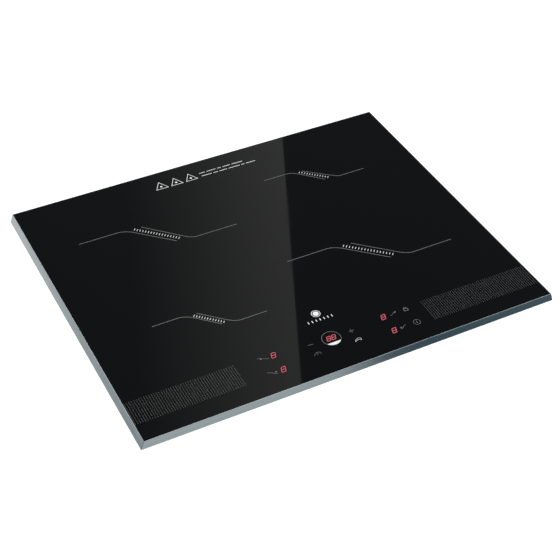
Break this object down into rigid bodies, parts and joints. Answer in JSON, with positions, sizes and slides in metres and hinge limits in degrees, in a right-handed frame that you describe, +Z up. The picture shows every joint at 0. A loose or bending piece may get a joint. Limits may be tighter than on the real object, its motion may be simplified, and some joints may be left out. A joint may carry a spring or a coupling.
{
  "type": "induction hob",
  "caption": "Built-in induction hob: black glass plate in a folded steel frame over a steel pan, with touch controls, coils, fans and swivel clamps.",
  "frame": {"origin": "middle of the pan's underside, which is the middle of the whole hob seen from above", "axes": "+X to the cook's right, +Y from the cook to the back, +Z up out of the glass"},
  "size_m": [0.584, 0.476, 0.058],
  "materials": {
    "black_glass": "polished glass-ceramic, opaque black",
    "trim_steel": "fine brushed, satin",
    "sealant": "cured silicone",
    "gasket_foam": "closed-cell foam",
    "galvanised_steel": "galvanised, satin",
    "zinc_screws": "zinc plated",
    "tray_aluminium": "mill finish",
    "sink_aluminium": "extruded",
    "fibre_blanket": "pressed ceramic fibre",
    "circuit_board": "solder resist",
    "black_plastic": "moulded",
    "copper": "enamelled copper wire",
    "spring_steel": "hardened strip",
    "silicone": "soft silicone",
    "natural_plastic": "moulded",
    "capacitor_shell": "moulded box",
    "display_shell": "moulded",
    "key_foam": "conductive foam",
    "contact_brass": "turned",
    "gland_rubber": "moulded",
    "coil_plastic": "glass-filled, moulded",
    "litz_copper": "litz wire, lacquered",
    "ferrite": "pressed and sintered"
  },
  "bodies": {
    "root": {"glass_top": "black_glass", "trim_front": "trim_steel", "trim_back": "trim_steel", "trim_left": "trim_steel", "trim_right": "trim_steel", "base_pan": "galvanised_steel", "cable_gland": "gland_rubber", "glass_adhesive": "sealant", "rim_gasket": "gasket_foam", "frame_brackets": "galvanised_steel", "pan_head_screws": "zinc_screws", "coil_tray_left": "tray_aluminium", "coil_tray_right": "tray_aluminium", "coil_insulation_left": "fibre_blanket", "coil_insulation_right": "fibre_blanket", "power_board_left": "circuit_board", "power_board_right": "circuit_board", "heat_sink_left": "sink_aluminium", "heat_sink_right": "sink_aluminium", "fan_housing_left": "black_plastic", "fan_housing_right": "black_plastic", "fan_stators": "copper", "tray_standoffs": "zinc_screws", "coil_springs": "spring_steel", "coil_former_rear_left": "coil_plastic", "coil_former_front_left": "coil_plastic", "coil_former_rear_right": "coil_plastic", "coil_former_front_right": "coil_plastic", "coil_winding_rear_left": "litz_copper", "coil_winding_front_left": "litz_copper", "coil_winding_rear_right": "litz_copper", "coil_winding_front_right": "litz_copper", "coil_ferrites_rear_left": "ferrite", "coil_ferrites_front_left": "ferrite", "coil_ferrites_rear_right": "ferrite", "coil_ferrites_front_right": "ferrite", "temperature_sensors": "silicone", "sensor_bridges": "spring_steel", "board_carrier": "natural_plastic", "power_transistors": "black_plastic", "film_capacitors": "capacitor_shell", "toroid_chokes": "copper", "filter_board": "circuit_board", "control_carrier": "natural_plastic", "control_board": "circuit_board", "digit_displays": "display_shell", "touch_pads": "key_foam", "terminal_box": "black_plastic", "terminal_hinge_pin": "zinc_screws", "terminal_block": "natural_plastic", "terminal_contacts": "contact_brass", "clamp_pivots": "zinc_screws"},
    "fan_left": {"fan_rotor_left": "black_plastic"},
    "fan_right": {"fan_rotor_right": "black_plastic"},
    "terminal_lid": {"terminal_lid": "black_plastic"},
    "clamp_front_left": {"clamp_front_left": "spring_steel"},
    "clamp_front_right": {"clamp_front_right": "spring_steel"},
    "clamp_rear_left": {"clamp_rear_left": "spring_steel"},
    "clamp_rear_right": {"clamp_rear_right": "spring_steel"}
  },
  "joints": [
    {"name": "fan_left_spin", "type": "hinge", "parent": "root", "child": "fan_left", "pos_m": [-0.194, 0.162, 0.01], "axis": [0, 0, 1], "continuous": true},
    {"name": "fan_right_spin", "type": "hinge", "parent": "root", "child": "fan_right", "pos_m": [0.07, 0.162, 0.01], "axis": [0, 0, 1], "continuous": true},
    {"name": "terminal_lid_hinge", "type": "hinge", "parent": "root", "child": "terminal_lid", "pos_m": [0.1912, 0.2267, 0.0288], "axis": [1, 0, 0], "range_deg": [0, 95]},
    {"name": "clamp_front_left_swivel", "type": "hinge", "parent": "root", "child": "clamp_front_left", "pos_m": [-0.264, -0.15, 0.005], "axis": [0, 0, 1], "range_deg": [0, 90]},
    {"name": "clamp_front_right_swivel", "type": "hinge", "parent": "root", "child": "clamp_front_right", "pos_m": [0.264, -0.15, 0.005], "axis": [0, 0, -1], "range_deg": [0, 90]},
    {"name": "clamp_rear_left_swivel", "type": "hinge", "parent": "root", "child": "clamp_rear_left", "pos_m": [-0.264, 0.15, 0.005], "axis": [0, 0, -1], "range_deg": [0, 90]},
    {"name": "clamp_rear_right_swivel", "type": "hinge", "parent": "root", "child": "clamp_rear_right", "pos_m": [0.264, 0.15, 0.005], "axis": [0, 0, 1], "range_deg": [0, 90]}
  ]
}
